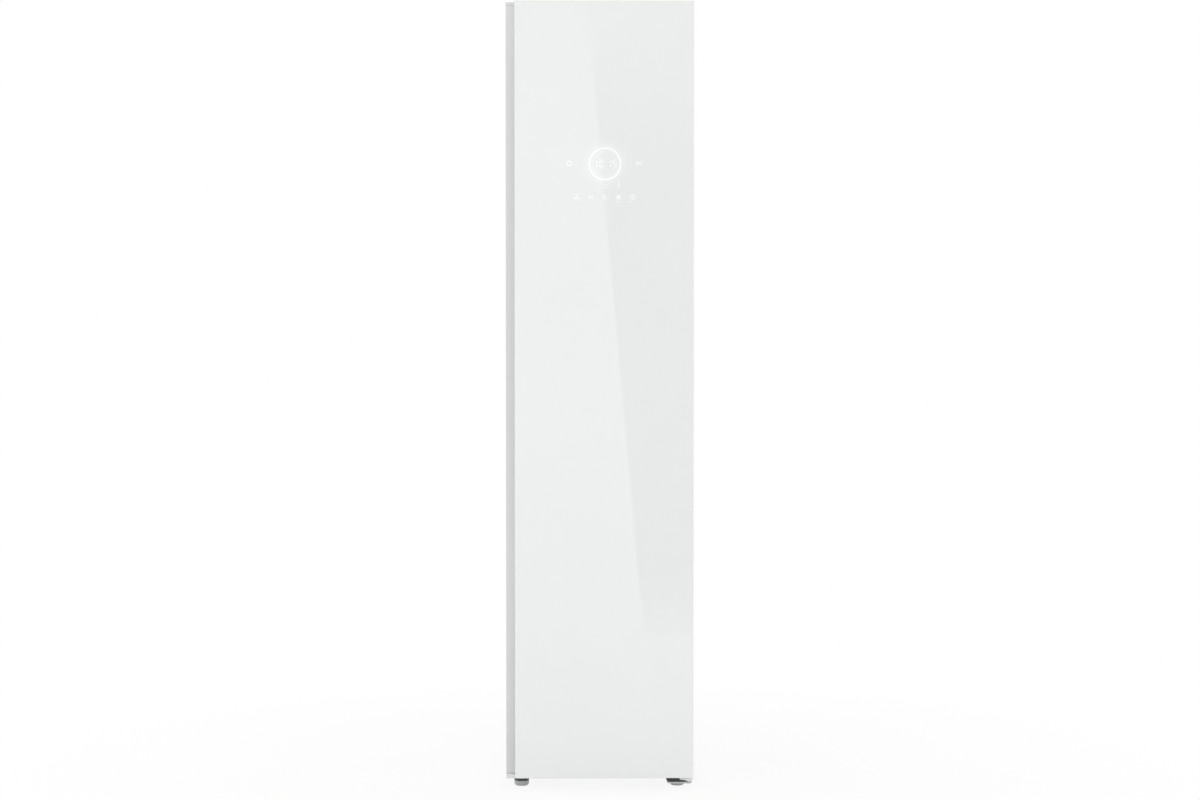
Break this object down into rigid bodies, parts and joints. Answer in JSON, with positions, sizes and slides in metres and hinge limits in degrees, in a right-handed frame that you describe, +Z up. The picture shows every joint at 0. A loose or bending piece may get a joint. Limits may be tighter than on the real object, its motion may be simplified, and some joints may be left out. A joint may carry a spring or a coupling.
{
  "type": "clothes care steam cabinet",
  "caption": "Tall narrow clothes care cabinet with a white glass door hinged on the right, moving hanger rail, steam and heat-pump drying, and removable water tanks.",
  "frame": {"origin": "on the floor, at the middle of the footprint", "axes": "+X to the right seen from the front, the door faces -Y, +Z up"},
  "size_m": [0.44, 0.585, 1.85],
  "materials": {
    "white_glass": "clear float glass with a white coating on its back",
    "grip_grey": "satin painted extrusion",
    "cap_grey": "fine moulded grain",
    "white_sheet": "smooth powder coat",
    "white_plastic": "moulded, light satin",
    "liner_white": "vacuum-formed satin gloss",
    "insulation_foam": "poured rigid foam",
    "seal_grey": "soft magnetic gasket",
    "zinc_plate": "zinc plated sheet",
    "bright_steel": "bright drawn tube",
    "black_plastic": "moulded grain",
    "dark_steel": "black enamel",
    "cast_aluminium": "as cast",
    "rail_metal": "polished",
    "hanger_plastic": "moulded satin",
    "grey_plastic": "moulded satin",
    "foot_grey": "moulded satin",
    "board_green": "circuit board lacquer",
    "milk_plastic": "translucent moulded",
    "roller_rubber": "moulded"
  },
  "bodies": {
    "cabinet": {"left_side_panel": "white_sheet", "right_side_panel": "white_sheet", "top_cover": "white_plastic", "header_panel": "white_sheet", "base_pan": "zinc_plate", "rear_panel": "white_sheet", "rear_service_cover": "zinc_plate", "power_inlet": "black_plastic", "insulation": "insulation_foam", "liner_left": "liner_white", "liner_right": "liner_white", "liner_back": "liner_white", "chamber_floor": "liner_white", "chamber_ceiling": "liner_white", "ceiling_lamp_lens": "milk_plastic", "shelf": "grey_plastic", "tank_bay": "liner_white", "drain_tank": "milk_plastic", "drain_tank_lid": "grey_plastic", "supply_tank": "milk_plastic", "supply_tank_lid": "grey_plastic", "duct_tray": "grey_plastic", "evaporator": "cast_aluminium", "condenser": "cast_aluminium", "fan_motor": "dark_steel", "compressor": "dark_steel", "steam_generator": "cast_aluminium", "feed_pump": "grey_plastic", "steam_pipe": "bright_steel", "shaker_frame": "zinc_plate", "shaker_motor": "dark_steel", "control_box": "black_plastic", "upper_hinge_bracket": "zinc_plate", "upper_hinge_cover": "white_plastic", "lower_hinge_bracket": "zinc_plate", "foot_holder_left": "black_plastic", "foot_holder_right": "black_plastic"},
    "door": {"door_glass": "white_glass", "grip_profile": "grip_grey", "grip_cap_bottom": "cap_grey", "grip_cap_top": "grip_grey", "door_cap_top": "white_plastic", "door_cap_bottom": "white_plastic", "door_frame_right": "white_sheet", "door_foam": "insulation_foam", "display_board": "board_green", "door_liner": "liner_white", "door_gasket": "seal_grey"},
    "clamp_jaw": {"clamp_jaw": "grey_plastic"},
    "hanger_rail": {"hanger_rail": "rail_metal"},
    "crank": {"crank": "cast_aluminium"},
    "hanger_1": {"hanger_1": "hanger_plastic"},
    "hanger_2": {"hanger_2": "hanger_plastic"},
    "hanger_3": {"hanger_3": "hanger_plastic"},
    "fan_impeller": {"fan_impeller": "black_plastic"},
    "lint_filter": {"lint_filter": "grey_plastic"},
    "foot_left": {"foot_left": "foot_grey"},
    "foot_right": {"foot_right": "foot_grey"},
    "roller_left": {"roller_left": "roller_rubber"},
    "roller_right": {"roller_right": "roller_rubber"}
  },
  "joints": [
    {"name": "door_swing", "type": "hinge", "parent": "cabinet", "child": "door", "pos_m": [0.2085, -0.2675, 0.03], "axis": [0, 0, 1], "range_deg": [0, 115]},
    {"name": "clamp_open", "type": "hinge", "parent": "door", "child": "clamp_jaw", "pos_m": [0, -0.2055, 1.44], "axis": [1, 0, 0], "range_deg": [0, 45], "stiffness_Nm_per_rad": 0.4, "springref_deg": -20.05},
    {"name": "rail_shake", "type": "slide", "parent": "cabinet", "child": "hanger_rail", "axis": [1, 0, 0], "range_m": [-0.012, 0.012]},
    {"name": "crank_turn", "type": "hinge", "parent": "cabinet", "child": "crank", "pos_m": [0, 0.0024, 1.765], "axis": [0, 0, 1], "range_deg": [-36.88, 36.88]},
    {"name": "hanger_1_swing", "type": "hinge", "parent": "hanger_rail", "child": "hanger_1", "pos_m": [-0.09, 0.0224, 1.6797], "axis": [1, 0, 0], "range_deg": [-7, 7]},
    {"name": "hanger_2_swing", "type": "hinge", "parent": "hanger_rail", "child": "hanger_2", "pos_m": [0, 0.0224, 1.6797], "axis": [1, 0, 0], "range_deg": [-7, 7]},
    {"name": "hanger_3_swing", "type": "hinge", "parent": "hanger_rail", "child": "hanger_3", "pos_m": [0.09, 0.0224, 1.6797], "axis": [1, 0, 0], "range_deg": [-7, 7]},
    {"name": "fan_spin", "type": "hinge", "parent": "cabinet", "child": "fan_impeller", "pos_m": [0, 0.112, 0.3686], "axis": [0, 1, 0], "continuous": true},
    {"name": "lint_filter_lift", "type": "slide", "parent": "cabinet", "child": "lint_filter", "axis": [0, 0, 1], "range_m": [0, 0.1]},
    {"name": "foot_left_screw", "type": "slide", "parent": "cabinet", "child": "foot_left", "axis": [0, 0, -1], "range_m": [0, 0.015]},
    {"name": "foot_right_screw", "type": "slide", "parent": "cabinet", "child": "foot_right", "axis": [0, 0, -1], "range_m": [0, 0.015]},
    {"name": "roller_left_roll", "type": "hinge", "parent": "cabinet", "child": "roller_left", "pos_m": [-0.15, 0.2545, 0.016], "axis": [1, 0, 0], "continuous": true},
    {"name": "roller_right_roll", "type": "hinge", "parent": "cabinet", "child": "roller_right", "pos_m": [0.15, 0.2545, 0.016], "axis": [1, 0, 0], "continuous": true}
  ],
  "couplings": [
    {"joint": "crank_turn", "follows": "rail_shake", "rad_per_m": -53.625}
  ]
}
